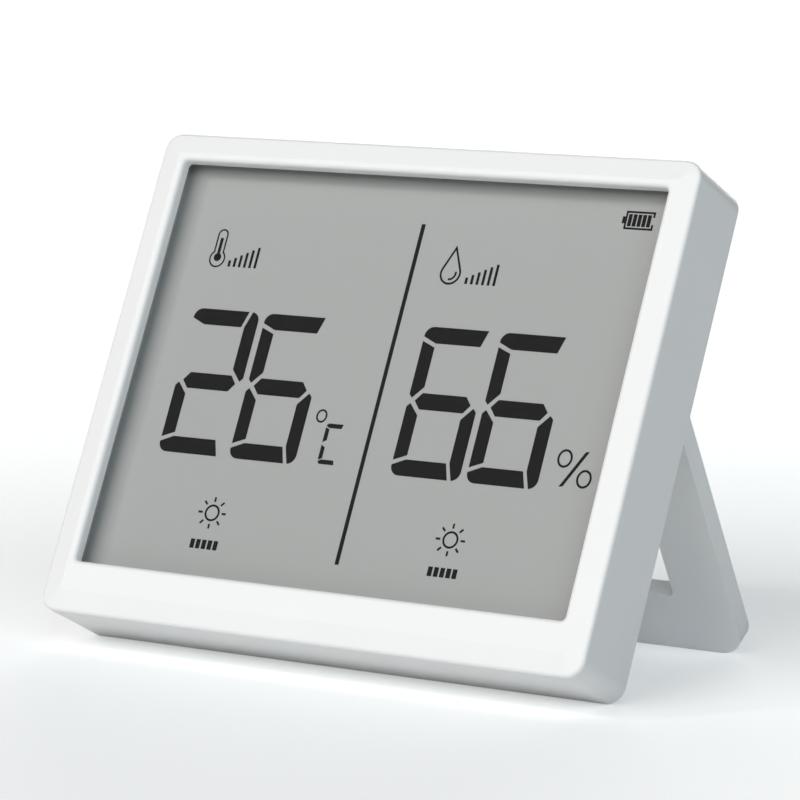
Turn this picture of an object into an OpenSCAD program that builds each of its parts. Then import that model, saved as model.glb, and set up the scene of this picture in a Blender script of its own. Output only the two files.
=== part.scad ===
// Desktop temperature and humidity sensor with a large segment display and a folding stand.
// Pieces are drawn in the body's own frame: x to the right, y up the front face from the
// bottom edge, z into the depth from the bezel. placed() then leans the body back on its stand.

/* [Body] */
// Width of the body seen from the front
body_w = 118; // [114:0.5:124]
// Height of the body along its front face
body_h = 97.6; // [96:0.2:104]
// Depth of the body from the bezel to the back rim
body_t = 17.8; // [17:0.1:20]
// Angle by which the front face leans back from upright
lean = 26.8; // [22:0.2:30]
// Thickness of the side walls
wall = 2; // [1.8:0.1:2.4]
// Corner radius of the body seen from the front
corner_r = 3.5; // [3:0.1:5]
// Rounding of the outer front edge
edge_r = 0.8; // [0.6:0.1:1.2]
// Angle by which the bezel falls away towards its outer edge
bezel_fall = 9; // [4:0.5:12]
// Rounding of the outer back edge
rim_r = 0.5; // [0.2:0.1:0.8]

/* [Display window] */
// Width of the bezel strips beside the window
side_strip = 5.7; // [5:0.1:8]
// Height of the bezel strip above the window
top_strip = 5.7; // [5.4:0.1:6.4]
// Height of the bezel strip below the window
bottom_strip = 10.1; // [10:0.1:13]
// Thickness of the front wall round the window
front_wall = 2.3; // [2.1:0.1:2.8]
// Rounding of the window's front lip
lip_r = 0.9; // [0.4:0.1:1.2]
// Corner radius of the window
window_r = 0.9; // [0.5:0.1:2]

/* [Display] */
// Thickness of each of the display's two glass plates
glass_t = 1.1; // [0.7:0.1:1.2]
// Reach of the glass past the window on the sides and the top
glass_overlap = 1.4; // [1:0.1:1.6]
// Reach of the front glass below the window, contact ledge included
glass_below = 3.5; // [3.2:0.1:3.6]
// Height of the contact ledge that the rear glass leaves free
ledge_h = 2.8; // [2.4:0.1:3]
// Thickness of the foam gasket between bezel and glass
gasket_t = 0.3; // [0.2:0.1:0.5]
// Set-back of the gasket behind the window's edge
gasket_back = 0.25; // [0.1:0.05:0.5]
// Width of the elastomer connector strip
zebra_w = 1.8; // [1.4:0.1:2]
// Length of the elastomer connector strip
zebra_l = 96; // [80:1:98]
// Play round the glass, the frame and the connector strip
inner_gap = 0.2; // [0.1:0.05:0.3]

/* [Circuit board] */
// Thickness of the display's carrier frame
frame_t = 2.2; // [1.8:0.1:2.4]
// Width of the carrier frame's border
frame_border = 7; // [6:0.5:9]
// Thickness of the circuit board
pcb_t = 0.8; // [0.6:0.1:1]
// Set-back of the circuit board inside the glass on each side
pcb_side = 2.7; // [2:0.1:4]
// Set-back of the circuit board below the glass's top edge
pcb_top = 4.7; // [4:0.1:7]
// Side of the display driver's square package
driver_side = 10; // [7:0.5:12]
// Height of the display driver's package
driver_t = 1.4; // [1:0.1:1.6]
// Side of the climate sensor's square package
sensor_side = 2.5; // [2:0.1:3]
// Height of the climate sensor's package
sensor_t = 0.9; // [0.7:0.1:1.2]
// Diameter of the clock crystal's can
crystal_d = 2; // [1.5:0.1:3]
// Length of the clock crystal's can
crystal_l = 6; // [5:0.5:8]
// Diameter of the screws that hold the board
board_screw_d = 1.6; // [1.4:0.1:2]
// Height of the switch's housing
switch_t = 3.5; // [3:0.1:4]
// Side of the switch's square housing
switch_side = 6; // [5:0.1:6.5]

/* [Back cover] */
// Thickness of the back cover's plate
cover_t = 2; // [1.8:0.1:2.2]
// Thickness of the rim that stands round the cover
rim_wall = 1.2; // [1:0.1:1.4]
// Play between the cover and the rim
cover_gap = 0.15; // [0.1:0.05:0.25]
// Thickness of the raised battery housing's skin
skin = 1.6; // [1.4:0.1:1.8]
// Corner radius of the raised battery housing
hump_r = 3; // [2.5:0.1:4]
// Rounding of the raised battery housing's outer edge
hump_edge_r = 0.8; // [0.4:0.1:1.2]
// Reach of the raised battery housing above the hinge line
hump_above_hinge = 5; // [4.5:0.1:7]
// Radius of the hanging hole's round mouth
hang_r = 4; // [3.5:0.1:4.5]
// Width of the hanging hole's slot
hang_slot_w = 4; // [3:0.1:4.2]
// Length of the hanging hole's slot above its mouth
hang_slot_l = 7; // [6:0.5:8]
// Depth of the pocket behind the hanging hole
hang_depth = 5; // [4:0.1:5.5]
// Room that the pocket leaves round the hanging hole's mouth
hang_room = 0.5; // [0.3:0.1:0.8]
// Distance between the unit button's flange and the hanging hole's pocket
hang_gap = 1.5; // [1:0.1:3]
// Length of one vent slot
vent_l = 15; // [10:0.5:18]
// Width of one vent slot
vent_w = 1.4; // [1:0.1:2]
// Number of vent slots in each group
vent_count = 6; // [4:1:7]
// Distance between vent slots
vent_pitch = 3.2; // [3:0.1:4]
// Distance of each vent group's middle from the body's side
vent_in = 26; // [22:0.5:30]
// Diameter of the unit button
button_d = 6; // [5:0.1:7]
// Travel of the unit button
button_travel = 0.4; // [0.2:0.05:0.6]
// Share of the height above the raised battery housing at which the unit button sits
button_share = 0.2; // [0.18:0.01:0.24]
// Share of the height above the raised battery housing at which the vents sit
vent_share = 0.5; // [0.46:0.01:0.54]
// Diameter of the screws that close the case
case_screw_d = 2; // [1.8:0.1:2.2]
// Length of the screws that close the case
case_screw_l = 8; // [6:0.5:9]
// Distance of the case screws from the body's side
case_screw_in = 19; // [16:0.5:24]

/* [Batteries] */
// Diameter of one AAA cell
cell_d = 10.5; // [10:0.1:10.5]
// Length of one AAA cell with its positive button
cell_l = 44.5; // [43:0.1:45]
// Play round the cells
cell_gap = 0.3; // [0.2:0.05:0.5]
// Room for the spring contact at a cell's negative end
spring_room = 4.4; // [3.5:0.1:6]
// Thickness of the contacts' sheet metal
sheet_t = 0.4; // [0.3:0.05:0.5]
// Height of the raised dimple that meets a cell's positive button
dimple_h = 0.6; // [0.4:0.1:0.8]
// Width of the ledge that the battery door rests on
door_seat = 2; // [1.6:0.1:2.4]
// Play round the battery door
door_gap = 0.2; // [0.1:0.05:0.3]
// Thickness of the battery bay's walls
bay_wall = 1; // [0.8:0.1:1.1]

/* [Stand] */
// Thickness of the stand
stand_t = 4.3; // [3.8:0.1:5]
// Width of each of the stand's two arms
arm_w = 11.7; // [10:0.1:14]
// Width of the bar that joins the arms at the foot
foot_w = 12.8; // [10:0.1:15]
// Inset of the stand's outline from the body's outline
stand_inset = 1.1; // [0.6:0.1:2]
// Outer corner radius at the foot
stand_r = 5; // [2:0.1:6]
// Corner radius of the opening between the arms
opening_r = 1.5; // [1:0.1:4]
// Height of the hinge line above the body's bottom edge
hinge_h = 52.1; // [49:0.1:55]
// Play between the folded stand and the back
fold_gap = 0.2; // [0.15:0.05:0.4]
// Play between the arms and the raised battery housing
arm_gap = 0.4; // [0.3:0.05:0.6]
// Diameter of the hinge pins
pin_d = 2.4; // [2:0.1:2.6]
// Play of the arms on the hinge pins, on the radius
pin_play = 0.05; // [0.03:0.01:0.08]
// Depth by which a hinge pin enters its arm
pin_in_arm = 5; // [4:0.5:8]
// Depth by which a hinge pin enters the raised housing
pin_in_hump = 6; // [5:0.5:8]
// Width of the finger scoop in the foot
scoop_w = 20; // [14:1:26]
// Depth of the finger scoop in the foot
scoop_h = 1.4; // [1:0.1:2]

/* [Hidden] */
$fn = 64;
// Overshoot that lets a cutting shape pass cleanly through a face
over = 1;
// Share of a corner radius that an inner plate leaves free, so that it runs into the rounded band round it
inner_share = 1.6;
// The same for the bezel, which also has to stay behind the swept edge's falling corners
crest_share = 1.9;

// Flat crest of the window's lip, and the flat ring that the bezel leaves round it
lip_flat = 0.5;
crest_ring = 0.1;
lip_band = lip_r + lip_flat;
// Width over which the bezel falls away, and the centre of its outer edge's rounding
fall_w = min(side_strip, top_strip, bottom_strip) - lip_band - crest_ring;
edge_z = (edge_r + (fall_w - edge_r) * sin(bezel_fall)) / cos(bezel_fall);
// Window and glass, in the body's frame
window_w = body_w - 2 * side_strip;
window_h = body_h - top_strip - bottom_strip;
window_y = bottom_strip + window_h / 2;
glass_w = window_w + 2 * glass_overlap;
glass_y0 = bottom_strip - glass_below;
glass_y1 = body_h - top_strip + glass_overlap;
rear_glass_y0 = glass_y0 + ledge_h;
// Depths of the stack behind the bezel
glass_z = front_wall + gasket_t;
frame_z = glass_z + 2 * glass_t;
pcb_z = frame_z + frame_t;
pcb_back = pcb_z + pcb_t;
pcb_w = glass_w - 2 * pcb_side;
pcb_y0 = glass_y0;
pcb_y1 = glass_y1 - pcb_top;
pcb_h = pcb_y1 - pcb_y0;
zebra_y = glass_y0 + ledge_h / 2;
zebra_z = glass_z + glass_t;
// Back cover and its raised battery housing
cover_w = body_w - 2 * (rim_wall + cover_gap);
cover_h = body_h - 2 * (rim_wall + cover_gap);
cover_r = corner_r - rim_wall - cover_gap;
cover_in = body_t - cover_t;
hump_rise = stand_t + fold_gap;
hump_back = body_t + hump_rise;
hump_w = body_w - 2 * (stand_inset + arm_w + arm_gap);
hump_y0 = stand_inset + foot_w + arm_gap;
hump_y1 = hinge_h + hump_above_hinge;
hump_h = hump_y1 - hump_y0;
hump_y = (hump_y0 + hump_y1) / 2;
// Battery bay, worked out from the cells
door_in = hump_back - skin;
cell_pitch = cell_d + cell_gap;
cell_z = door_in - cell_gap - cell_d / 2;
bay_floor = cell_z - cell_d / 2 - cell_gap;
bay_l = cell_l + spring_room + 2 * sheet_t + dimple_h;
bay_h = 2 * cell_d + 3 * cell_gap;
bay_y = hump_y;
bay_x1 = bay_l / 2;
positive_room = sheet_t + dimple_h;
cell_x = bay_x1 - positive_room - cell_l / 2;
door_w = bay_l + 2 * door_seat;
door_h = bay_h + 2 * door_seat;
cell_ys = [bay_y + cell_pitch / 2, bay_y - cell_pitch / 2];
tail_w = 3;
tail_gap = 0.1;
plate_share = 0.8;
// Vents above the raised housing, and the unit button over its switch
upper_h = body_h - hump_y1;
vent_x = body_w / 2 - vent_in;
vent_y = hump_y1 + vent_share * upper_h;
button_y = hump_y1 + button_share * upper_h;
button_flange = 0.8;
flange_d = button_d + 2 * button_flange;
button_proud = 0.4;
switch_top = pcb_back + switch_t;
plunger_d = 3;
plunger_rise = 1.2;
plunger_in = 0.9;
plunger_gap = 0.3;
// Screws that close the case and bosses that take them
boss_d = 4.4;
boss_sink = 0.1;
boss_y = wall + boss_d / 2 - boss_sink;
case_screw_x = body_w / 2 - case_screw_in;
case_head_d = 1.8 * case_screw_d;
case_head_t = 0.6 * case_screw_d;
head_sink = 0.1;
pilot_share = 0.85;
// Hooks that hold the cover's top edge
hook_x = body_w / 4;
hook_w = 10;
hook_t = 0.8;
hook_reach = 0.7;
// Small chip parts on the board
chip_pitch = 2.6;
capacitor_size = [0.8, 1.6, 0.8];
resistor_size = [0.8, 1.6, 0.5];
// Screws that hold the board on its frame
board_screw_in = 2.4;
board_screw_x = pcb_w / 2 - board_screw_in;
board_screw_ys = [for (share = [0.22, 0.8]) pcb_y0 + share * pcb_h];
board_head_d = 1.8 * board_screw_d;
board_head_t = 0.6 * board_screw_d;
// Hanging hole and the pocket behind it
pocket_r = hang_r + hang_room + bay_wall;
hang_y = button_y + flange_d / 2 + hang_gap + pocket_r;
// Posts on the cover that press the board down
post_d = 3.6;
post_in = [6, 4];
post_x = pcb_w / 2 - post_in[0];
post_ys = [pcb_y0 + post_in[1], pcb_y1 - post_in[1]];
post_gap = 0.1;

// Hinge and pose of the stand: the arms turn about the hinge until the foot's inner edge
// meets the surface that the body's rear bottom edge stands on.
hinge_z = body_t + fold_gap + stand_t / 2;
arm_l = hinge_h - stand_inset;
stand_w = body_w - 2 * stand_inset;
rest_drop = rim_r * (sin(lean) + cos(lean) - 1);
hinge_up = hinge_h * cos(lean) - (hinge_z - body_t) * sin(lean) - rest_drop;
foot_reach = norm([arm_l, stand_t / 2]);
stand_tilt = atan2(stand_t / 2, arm_l) + acos(hinge_up / foot_reach);
open_angle = lean + stand_tilt;
stop_gap = 0.1;
// Middle of the part's extent from front to back, measured from the rear bottom edge
front_reach = (edge_z - body_t) * cos(lean) + edge_r * sin(lean) - edge_r;
hinge_back = hinge_h * sin(lean) + (hinge_z - body_t) * cos(lean);
back_reach = hinge_back + arm_l * sin(stand_tilt) + stand_t / 2 * cos(stand_tilt);
mid_y = (front_reach + back_reach) / 2;

// Leans a piece drawn in the body's frame back into its standing pose
module placed() {
    translate([0, -mid_y, -rest_drop])
        rotate([-lean, 0, 0])
            translate([0, -body_t, 0])
                mirror([0, 1, 0])
                    rotate([90, 0, 0])
                        children();
}

// Puts copies at mirrored places left and right
module both_sides(x) {
    for (side = [-1, 1])
        translate([side * x, 0, 0])
            children();
}

module rounded_rect(w, h, r) {
    square([w - 2 * r, h], center = true);
    square([w, h - 2 * r], center = true);
    for (sx = [-1, 1], sy = [-1, 1])
        translate([sx * (w / 2 - r), sy * (h / 2 - r)])
            circle(r);
}

// Slot with round ends, along x
module slot_outline(l, w) {
    square([l - w, w], center = true);
    for (side = [-1, 1])
        translate([side * (l - w) / 2, 0])
            circle(w / 2);
}

module plate(w, h, r, t) {
    linear_extrude(t)
        rounded_rect(w, h, r);
}

// Plate between two heights, square-cornered
module slab(w, y0, y1, t) {
    translate([-w / 2, y0, 0])
        cube([w, y1 - y0, t]);
}

// Sweeps a profile round a rounded rectangle. The profile's x is the distance out from the
// outline and its y is the depth.
module swept_round(w, h, r) {
    for (turn = [0, 180]) {
        rotate(turn)
            translate([w / 2, h / 2 - r, 0])
                rotate([90, 0, 0])
                    linear_extrude(h - 2 * r)
                        children();
        rotate(turn + 90)
            translate([h / 2, w / 2 - r, 0])
                rotate([90, 0, 0])
                    linear_extrude(w - 2 * r)
                        children();
    }
    for (corner = [[1, 1, 0], [-1, 1, 90], [-1, -1, 180], [1, -1, 270]])
        translate([corner[0] * (w / 2 - r), corner[1] * (h / 2 - r), 0])
            rotate(corner[2])
                rotate_extrude(angle = 90)
                    translate([r, 0])
                        children();
}

module box2(x0, x1, y0, y1) {
    translate([x0, y0])
        square([x1 - x0, y1 - y0]);
}

// Quarter disc whose round side faces the quadrant that sx and sy name
module quarter(r, sx, sy) {
    intersection() {
        circle(r);
        translate([sx * r / 2, sy * r / 2])
            square(r, center = true);
    }
}

// Depth of the falling bezel at a distance from the outer edge
function fall_z(in) = max(0, (fall_w - in) * tan(bezel_fall));

// Cross-section of the front case's edge: falling bezel, rounded front edge, wall and stepped rim
module case_profile() {
    round_x = edge_r * (1 - sin(bezel_fall));
    polygon(concat(corner_r > fall_w ? [[-corner_r, 0]] : [],
        [[-min(corner_r, fall_w), fall_z(corner_r)], [-round_x, fall_z(round_x)], [-edge_r, edge_z],
        [-edge_r, front_wall], [-corner_r, front_wall]]));
    translate([-edge_r, edge_z])
        intersection() {
            circle(edge_r);
            polygon([[0, 0], 2 * edge_r * [sin(bezel_fall), -cos(bezel_fall)], 2 * edge_r * [1, -1], [2 * edge_r, 0]]);
        }
    box2(-edge_r, 0, edge_z, front_wall);
    box2(-wall, 0, edge_z, cover_in - cover_gap);
    box2(-rim_wall, 0, edge_z, body_t - rim_r);
    box2(-rim_wall, -rim_r, edge_z, body_t);
    translate([-rim_r, body_t - rim_r])
        quarter(rim_r, 1, 1);
}

// Cross-section of the window's lip, rounded towards the viewer
module lip_profile(band) {
    box2(lip_r, band, 0, front_wall);
    box2(0, lip_r, lip_r, front_wall);
    translate([lip_r, lip_r])
        quarter(lip_r, -1, -1);
}

// Cross-section of the raised battery housing, whose floor faces backwards
module hump_profile() {
    box2(-hump_r, -hump_edge_r, hump_back - skin, hump_back);
    translate([-hump_edge_r, hump_back - hump_edge_r])
        quarter(hump_edge_r, 1, 1);
    box2(-skin, 0, body_t - cover_t, hump_back - hump_edge_r);
}

// Slab whose front falls away towards its two long edges
module falling_slab(w, l) {
    translate([0, l / 2, 0])
        rotate([90, 0, 0])
            linear_extrude(l)
                polygon([[-w / 2, fall_z(0)], [fall_w - w / 2, 0], [w / 2 - fall_w, 0], [w / 2, fall_z(0)],
                    [w / 2, front_wall], [-w / 2, front_wall]]);
}

// Bezel inside the swept edge: its four falling sides meet in mitres
module bezel_plate() {
    margin = crest_share * corner_r;
    intersection() {
        falling_slab(body_w, body_h);
        rotate(90)
            falling_slab(body_h, body_w);
        translate([0, 0, front_wall / 2])
            cube([body_w - margin, body_h - margin, 2 * front_wall], center = true);
    }
}

module front_case() {
    lip_cut = lip_r + lip_flat / 2;
    rib_t = 1.4;
    rib_rise = 2.2;
    rib_root = 0.4;
    color("whitesmoke")
        placed()
            difference() {
                union() {
                    difference() {
                        translate([0, body_h / 2, 0]) {
                            swept_round(body_w, body_h, corner_r)
                                case_profile();
                            bezel_plate();
                        }
                        translate([0, window_y, -over])
                            plate(window_w + 2 * lip_cut, window_h + 2 * lip_cut, window_r + lip_cut,
                                front_wall + 2 * over);
                    }
                    translate([0, window_y, 0])
                        swept_round(window_w, window_h, window_r)
                            lip_profile(lip_band);
                    // Ribs that centre the glass between the side walls and on the bottom wall
                    for (rib_y = [0.3, 0.7], side = [-1, 1])
                        translate([side * (glass_w / 2 + inner_gap + body_w / 2 - wall + rib_root) / 2, rib_y * body_h,
                            front_wall + (rib_rise - rib_root) / 2])
                            cube([body_w / 2 - wall + rib_root - glass_w / 2 - inner_gap, rib_t, rib_rise + rib_root],
                                center = true);
                    both_sides(window_w / 4)
                        translate([0, (wall - rib_root + glass_y0 - inner_gap) / 2,
                            front_wall + (rib_rise - rib_root) / 2])
                            cube([rib_t, glass_y0 - inner_gap - wall + rib_root, rib_rise + rib_root], center = true);
                    // Screw bosses on the bottom wall
                    both_sides(case_screw_x)
                        translate([0, boss_y, front_wall - rib_root])
                            cylinder(d = boss_d, h = cover_in - front_wall + rib_root - cover_gap);
                }
                // Pilot holes for the case screws
                both_sides(case_screw_x)
                    translate([0, boss_y, body_t - cover_t - case_screw_l])
                        cylinder(d = pilot_share * case_screw_d, h = case_screw_l + over);
                // Slots in the top rim for the cover's hooks
                both_sides(hook_x)
                    translate([0, body_h - rim_wall, body_t - cover_t / 2])
                        cube([hook_w + 2 * cover_gap, 2 * hook_reach, hook_t + 2 * cover_gap], center = true);
            }
}

module lcd_gasket() {
    open_w = window_w + 2 * gasket_back;
    open_y0 = bottom_strip - gasket_back;
    open_y1 = body_h - top_strip + gasket_back;
    color("dimgray")
        placed()
            translate([0, 0, front_wall])
                difference() {
                    slab(glass_w, glass_y0, glass_y1, gasket_t);
                    translate([0, 0, -over])
                        slab(open_w, open_y0, open_y1, gasket_t + 2 * over);
                }
}

module lcd_panel() {
    color("darkgray")
        placed()
            translate([0, 0, glass_z]) {
                slab(glass_w, glass_y0, glass_y1, glass_t);
                translate([0, 0, glass_t])
                    slab(glass_w, rear_glass_y0, glass_y1, glass_t);
            }
}

module zebra_strip() {
    color("lightpink")
        placed()
            translate([0, 0, zebra_z])
                slab(zebra_l, zebra_y - zebra_w / 2, zebra_y + zebra_w / 2, pcb_z - zebra_z);
}

module lcd_frame() {
    bar_w = 6;
    pane_w = (glass_w - 2 * frame_border - bar_w) / 2;
    pane_y0 = rear_glass_y0 + frame_border;
    pane_y1 = glass_y1 - frame_border;
    color("gainsboro")
        placed()
            translate([0, 0, frame_z])
                difference() {
                    slab(glass_w, glass_y0, glass_y1, frame_t);
                    both_sides((pane_w + bar_w) / 2)
                        translate([0, 0, -over])
                            slab(pane_w, pane_y0, pane_y1, frame_t + 2 * over);
                    translate([0, 0, -over])
                        slab(zebra_l + 2 * inner_gap, zebra_y - zebra_w / 2 - inner_gap,
                            zebra_y + zebra_w / 2 + inner_gap, frame_t + 2 * over);
                    board_screw_places(frame_z)
                        cylinder(d = pilot_share * board_screw_d, h = frame_t + over);
                }
}

// Puts copies at the board's screws; base is the depth that the caller draws from
module board_screw_places(base) {
    for (screw_y = board_screw_ys)
        both_sides(board_screw_x)
            translate([0, screw_y, frame_z - base])
                children();
}

module main_pcb() {
    color("darkgreen")
        placed()
            difference() {
                translate([0, 0, pcb_z])
                    slab(pcb_w, pcb_y0, pcb_y1, pcb_t);
                board_screw_places(0)
                    cylinder(d = board_screw_d + inner_gap, h = frame_t + pcb_t + over);
            }
}

// Places a flat package on the back of the board
module on_board(x, y) {
    translate([x, y, pcb_back])
        children();
}

module driver_chip() {
    lead_count = 10;
    lead_reach = 1;
    lead_t = 0.25;
    lead_pitch = driver_side / (lead_count + 1);
    color("black")
        placed()
            on_board(-vent_x, vent_y) {
                translate([0, 0, driver_t / 2])
                    cube([driver_side, driver_side, driver_t], center = true);
                for (turn = [0, 90, 180, 270], i = [1:lead_count])
                    rotate(turn)
                        translate([driver_side / 2, i * lead_pitch - driver_side / 2 - lead_t / 2, 0])
                            cube([lead_reach, lead_t, driver_t / 2]);
            }
}

module climate_sensor() {
    port_d = 0.8;
    color("ivory")
        placed()
            on_board(vent_x, vent_y)
                difference() {
                    translate([0, 0, sensor_t / 2])
                        cube([sensor_side, sensor_side, sensor_t], center = true);
                    translate([0, 0, sensor_t / 2])
                        cylinder(d = port_d, h = sensor_t);
                }
}

module crystal() {
    color("silver")
        placed()
            on_board(-vent_x + driver_side, vent_y)
                translate([-crystal_l / 2, 0, crystal_d / 2])
                    rotate([0, 90, 0])
                        cylinder(d = crystal_d, h = crystal_l);
}

// Row of small chip parts on the board
module chip_row(x, y, count, size) {
    for (i = [0:count - 1])
        on_board(x + i * chip_pitch, y)
            translate([0, 0, size[2] / 2])
                cube(size, center = true);
}

module capacitors() {
    color("tan")
        placed()
            chip_row(-vent_x - driver_side / 2, vent_y - driver_side, 4, capacitor_size);
}

module resistors() {
    color("#303030")
        placed()
            chip_row(vent_x - 2 * chip_pitch, vent_y - 2 * chip_pitch, 5, resistor_size);
}

module tact_switch() {
    color("dimgray")
        placed()
            on_board(0, button_y)
                difference() {
                    translate([0, 0, switch_t / 2])
                        cube([switch_side, switch_side, switch_t], center = true);
                    translate([0, 0, switch_t - plunger_in - button_travel - plunger_gap])
                        cylinder(d = plunger_d + 2 * plunger_gap, h = switch_t);
                }
}

module switch_plunger() {
    color("black")
        placed()
            translate([0, button_y, switch_top - plunger_in])
                cylinder(d = plunger_d, h = plunger_in + plunger_rise);
}

module unit_button() {
    flange_z = cover_in - post_gap - button_flange;
    stem_z = switch_top + plunger_rise;
    dish_r = 2 * button_d;
    dish_depth = 0.25;
    color("whitesmoke")
        placed()
            translate([0, button_y, 0])
                difference() {
                    union() {
                        translate([0, 0, stem_z])
                            cylinder(d = plunger_d, h = flange_z - stem_z + over);
                        translate([0, 0, flange_z])
                            cylinder(d = flange_d, h = button_flange);
                        translate([0, 0, flange_z])
                            cylinder(d = button_d, h = body_t + button_proud - flange_z);
                    }
                    translate([0, 0, body_t + button_proud - dish_depth + dish_r])
                        sphere(dish_r);
                }
}

module pcb_screws() {
    color("silver")
        placed()
            board_screw_places(0) {
                translate([0, 0, inner_gap])
                    cylinder(d = pilot_share * board_screw_d, h = frame_t + pcb_t - inner_gap);
                translate([0, 0, frame_t + pcb_t])
                    cylinder(d = board_head_d, h = board_head_t);
            }
}

// Outline of the hanging hole: a round mouth and a narrow slot above it
module hang_outline(extra) {
    circle(hang_r + extra);
    box2(-hang_slot_w / 2 - extra, hang_slot_w / 2 + extra, 0, hang_slot_l);
    translate([0, hang_slot_l])
        circle(hang_slot_w / 2 + extra);
}

module vent_group() {
    for (i = [0:vent_count - 1])
        translate([0, (i - (vent_count - 1) / 2) * vent_pitch, 0])
            linear_extrude(cover_t + 2 * over)
                slot_outline(vent_l, vent_w);
}

// Closed pocket behind the hanging hole, wide enough for a screw's head along the slot
module hang_pocket(extra, depth) {
    slot_top = hang_slot_l + hang_r + extra;
    linear_extrude(depth) {
        circle(hang_r + extra);
        box2(-hang_r - extra, hang_r + extra, 0, slot_top);
    }
}

// Lug inside the raised housing that holds one hinge pin and runs halfway into the housing's skin
module pin_lug() {
    lug_h = hump_above_hinge + pin_d;
    lug_l = pin_in_hump + bay_wall;
    translate([-lug_l, hump_y1 - lug_h - skin / 2, cover_in])
        cube([lug_l + skin / 2, lug_h, hump_back - skin / 2 - cover_in]);
}

module hinge_bore(length, d) {
    rotate([0, 90, 0])
        cylinder(d = d, h = length, center = true);
}

module cover_plate_with_hump() {
    ledge_t = 1.2;
    difference() {
        union() {
            translate([0, body_h / 2, cover_in])
                plate(cover_w, cover_h, cover_r, cover_t);
            both_sides(hook_x)
                translate([0, body_h - rim_wall - cover_gap, body_t - cover_t / 2])
                    cube([hook_w, 2 * (hook_reach - cover_gap), hook_t], center = true);
        }
        translate([0, hump_y, cover_in - over])
            plate(hump_w - skin, hump_h - skin, hump_r - skin / 2, cover_t + 2 * over);
    }
    translate([0, hump_y, 0]) {
        swept_round(hump_w, hump_h, hump_r)
            hump_profile();
        translate([0, 0, hump_back - skin / 2])
            cube([hump_w - inner_share * hump_r, hump_h - inner_share * hump_r, skin], center = true);
    }
    // Battery bay hung inside the raised housing
    translate([0, bay_y, door_in + (skin / 2 - ledge_t) / 2])
        cube([door_w + 2 * door_seat, door_h + 2 * door_seat, ledge_t + skin / 2], center = true);
    translate([0, bay_y, (bay_floor - bay_wall + door_in) / 2])
        cube([bay_l + 2 * bay_wall, bay_h + 2 * bay_wall, door_in - bay_floor + bay_wall], center = true);
    for (side = [-1, 1])
        mirror([side < 0 ? 1 : 0, 0, 0])
            translate([hump_w / 2 - skin, 0, 0])
                pin_lug();
    // Posts that press the board onto its frame
    for (post_y = post_ys)
        both_sides(post_x)
            translate([0, post_y, pcb_back + post_gap])
                cylinder(d = post_d, h = cover_in - pcb_back);
    translate([0, hang_y, body_t - hang_depth - bay_wall])
        hang_pocket(hang_room + bay_wall, hang_depth);
}

module back_cover() {
    head_recess = case_head_t + head_sink;
    notch_r = 7;
    notch_depth = 1;
    color("whitesmoke")
        placed()
            difference() {
                cover_plate_with_hump();
                // Battery bay and the opening that its door fills
                translate([0, bay_y, (bay_floor + hump_back) / 2 + over / 2])
                    cube([bay_l, bay_h, hump_back - bay_floor + over], center = true);
                translate([0, bay_y, door_in + skin])
                    cube([door_w + 2 * door_gap, door_h + 2 * door_gap, 2 * skin], center = true);
                // Finger notch at the door's lower edge
                translate([0, bay_y - door_h / 2, hump_back - notch_depth])
                    cylinder(r = notch_r, h = notch_depth + over);
                // Slits for the contacts' tails
                tail_slits();
                // Hinge pin bores
                translate([0, hinge_h, hinge_z])
                    both_sides(hump_w / 2)
                        hinge_bore(2 * pin_in_hump, pin_d);
                // Case screws
                both_sides(case_screw_x)
                    translate([0, boss_y, 0]) {
                        translate([0, 0, cover_in - over])
                            cylinder(d = case_screw_d + inner_gap, h = cover_t + 2 * over);
                        translate([0, 0, body_t - head_recess])
                            cylinder(d = case_head_d + inner_gap, h = head_recess + over);
                    }
                // Hanging hole, vents and button
                translate([0, hang_y, body_t - cover_t - over])
                    linear_extrude(cover_t + 2 * over)
                        hang_outline(0);
                translate([0, hang_y, body_t - hang_depth])
                    hang_pocket(hang_room, hang_depth - cover_t);
                both_sides(vent_x)
                    translate([0, vent_y, cover_in - over])
                        vent_group();
                translate([0, button_y, cover_in - over])
                    cylinder(d = button_d + 2 * door_gap, h = cover_t + 2 * over);
            }
}

module case_screws() {
    head_z = body_t - case_head_t;
    drive_w = 0.4;
    color("silver")
        placed()
            both_sides(case_screw_x)
                translate([0, boss_y, 0])
                    difference() {
                        union() {
                            translate([0, 0, head_z - case_screw_l + cover_t])
                                cylinder(d = pilot_share * case_screw_d, h = case_screw_l - cover_t);
                            translate([0, 0, head_z])
                                cylinder(d = case_head_d, h = case_head_t);
                        }
                        for (turn = [0, 90])
                            rotate(turn)
                                translate([0, 0, body_t])
                                    cube([0.6 * case_head_d, drive_w, case_head_t], center = true);
                    }
}

// One AAA cell with its positive button at the +x end, centred on its length
module cell() {
    nub_d = 3.8;
    nub_l = 1;
    rim = 0.5;
    translate([-cell_l / 2, 0, 0])
        rotate([0, 90, 0]) {
            cylinder(d = cell_d - 2 * rim, h = cell_l - nub_l);
            translate([0, 0, rim])
                cylinder(d = cell_d, h = cell_l - nub_l - 2 * rim);
            cylinder(d = nub_d, h = cell_l);
        }
}

module battery_upper() {
    color("seagreen")
        placed()
            translate([cell_x, cell_ys[0], cell_z])
                cell();
}

module battery_lower() {
    color("seagreen")
        placed()
            translate([-cell_x, cell_ys[1], cell_z])
                mirror([1, 0, 0])
                    cell();
}

// Slits in the bay's floor that let the two left-hand contacts' solder tails through
module tail_slits() {
    for (tail_y = cell_ys)
        translate([-bay_x1 + sheet_t / 2, tail_y, bay_floor - bay_wall / 2])
            cube([sheet_t + 2 * tail_gap, tail_w + 2 * tail_gap, bay_wall + 2 * over], center = true);
}

// Flat contact plate on the bay's right-hand end wall
module contact_plate(y, w) {
    translate([bay_x1 - sheet_t, y - w / 2, bay_floor])
        cube([sheet_t, w, cell_d - bay_wall]);
}

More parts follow.
